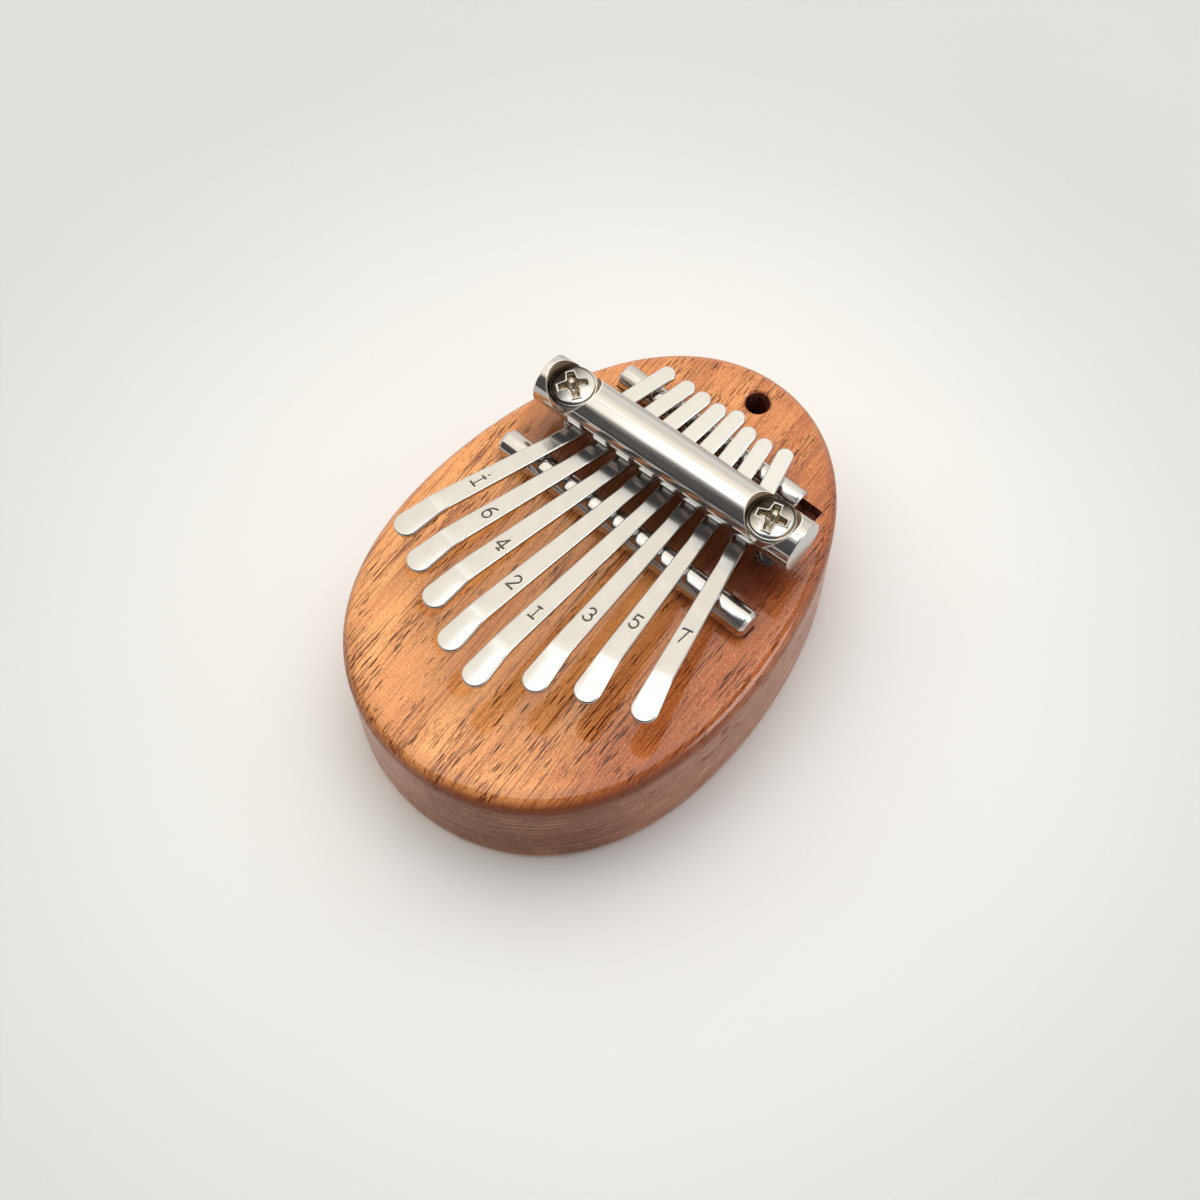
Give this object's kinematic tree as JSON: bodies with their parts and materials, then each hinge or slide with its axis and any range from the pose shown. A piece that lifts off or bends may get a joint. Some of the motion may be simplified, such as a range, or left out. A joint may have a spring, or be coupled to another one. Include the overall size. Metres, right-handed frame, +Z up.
{
  "type": "thumb piano",
  "caption": "Palm-sized thumb piano: egg-shaped solid wooden body with sprung steel keys fanned over round bridges and held by a screwed round clamp bar",
  "frame": {"origin": "centre of the flat back of the body, at the middle of the bounding box in plan", "axes": "+Y towards the hanging hole, away from the player; +X to the player's right; +Z up out of the keyed face"},
  "size_m": [0.061, 0.0852, 0.0334],
  "materials": {
    "wood": "orange-brown hardwood under gloss lacquer",
    "bridge_steel": "polished",
    "bar_steel": "polished, faint lengthwise marks",
    "screw_steel": "nickel plated",
    "key_steel": "satin to bright"
  },
  "bodies": {
    "body": {"body_wood": "wood", "front_bridge": "bridge_steel", "rear_bridge": "bridge_steel", "clamp_bar": "bar_steel", "clamp_screw_left": "screw_steel", "clamp_screw_right": "screw_steel"},
    "key_1": {"tine_1": "key_steel"},
    "key_2": {"tine_2": "key_steel"},
    "key_3": {"tine_3": "key_steel"},
    "key_4": {"tine_4": "key_steel"},
    "key_5": {"tine_5": "key_steel"},
    "key_6": {"tine_6": "key_steel"},
    "key_7": {"tine_7": "key_steel"},
    "key_8": {"tine_8": "key_steel"}
  },
  "joints": [
    {"name": "key_1_spring", "type": "hinge", "parent": "body", "child": "key_1", "pos_m": [-0.01786, 0.0053, 0.0249], "axis": [1, 0, 0], "range_deg": [-0.7, 1.2], "stiffness_Nm_per_rad": 4.44},
    {"name": "key_2_spring", "type": "hinge", "parent": "body", "child": "key_2", "pos_m": [-0.0127, 0.0053, 0.0249], "axis": [1, 0, 0], "range_deg": [-0.7, 1.2], "stiffness_Nm_per_rad": 3.96},
    {"name": "key_3_spring", "type": "hinge", "parent": "body", "child": "key_3", "pos_m": [-0.00805, 0.0053, 0.0249], "axis": [1, 0, 0], "range_deg": [-0.7, 1.2], "stiffness_Nm_per_rad": 3.62},
    {"name": "key_4_spring", "type": "hinge", "parent": "body", "child": "key_4", "pos_m": [-0.00325, 0.0053, 0.0249], "axis": [1, 0, 0], "range_deg": [-0.7, 1.2], "stiffness_Nm_per_rad": 3.24},
    {"name": "key_5_spring", "type": "hinge", "parent": "body", "child": "key_5", "pos_m": [0.00121, 0.0053, 0.0249], "axis": [1, 0, 0], "range_deg": [-0.7, 1.2], "stiffness_Nm_per_rad": 3.09},
    {"name": "key_6_spring", "type": "hinge", "parent": "body", "child": "key_6", "pos_m": [0.00598, 0.0053, 0.0249], "axis": [1, 0, 0], "range_deg": [-0.7, 1.2], "stiffness_Nm_per_rad": 3.6},
    {"name": "key_7_spring", "type": "hinge", "parent": "body", "child": "key_7", "pos_m": [0.01087, 0.0053, 0.0249], "axis": [1, 0, 0], "range_deg": [-0.7, 1.2], "stiffness_Nm_per_rad": 4.06},
    {"name": "key_8_spring", "type": "hinge", "parent": "body", "child": "key_8", "pos_m": [0.01698, 0.0053, 0.0249], "axis": [1, 0, 0], "range_deg": [-0.7, 1.2], "stiffness_Nm_per_rad": 4.54}
  ]
}
